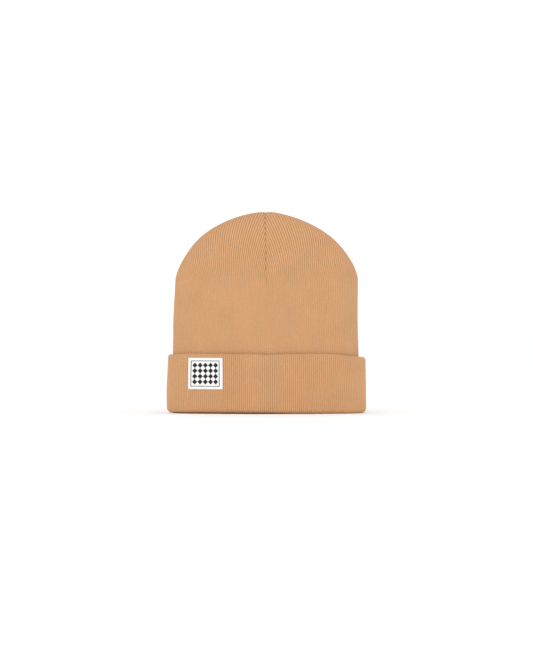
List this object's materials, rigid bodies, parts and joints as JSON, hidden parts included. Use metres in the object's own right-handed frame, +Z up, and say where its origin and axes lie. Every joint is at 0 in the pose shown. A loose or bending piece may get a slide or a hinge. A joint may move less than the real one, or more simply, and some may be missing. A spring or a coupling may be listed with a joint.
{
  "type": "cuffed beanie",
  "caption": "Fine rib-knit beanie: rounded double-layer cap with darted crown, a turned-up cuff that turns down, and a plain woven label.",
  "frame": {"origin": "middle of the hat's outline on the surface that the folded lower edge stands on", "axes": "+Z up through the crown, -Y the front, where the label is, +X towards the other end of the cuff from the label"},
  "size_m": [0.2086, 0.0926, 0.212],
  "materials": {
    "rib_knit": "matt",
    "lining_knit": "matt",
    "seam_thread": "matt",
    "label_cloth": "satin",
    "label_ink": "matt",
    "label_thread": "satin",
    "care_satin": "satin"
  },
  "bodies": {
    "cuff": {"brim_fold": "rib_knit", "cuff_inner_ply": "rib_knit", "cuff_outer_ply": "rib_knit", "woven_label": "label_cloth", "label_border": "label_ink", "label_motif": "label_ink", "label_stitches": "label_thread"},
    "cap": {"outer_shell": "rib_knit", "lining": "lining_knit", "shell_seam_front": "seam_thread", "shell_seam_back": "seam_thread", "shell_seam_left": "seam_thread", "shell_seam_right": "seam_thread", "lining_seam_front": "seam_thread", "lining_seam_back": "seam_thread", "lining_seam_left": "seam_thread", "lining_seam_right": "seam_thread", "crown_tack": "seam_thread", "care_label": "care_satin", "care_label_stitches": "label_thread"}
  },
  "joints": [
    {"name": "cuff_turn_down", "type": "slide", "parent": "cuff", "child": "cap", "axis": [0, 0, 1], "range_m": [0, 0.053], "deforming": ["cuff_outer_ply", "woven_label", "label_border", "label_motif", "label_stitches"]}
  ]
}
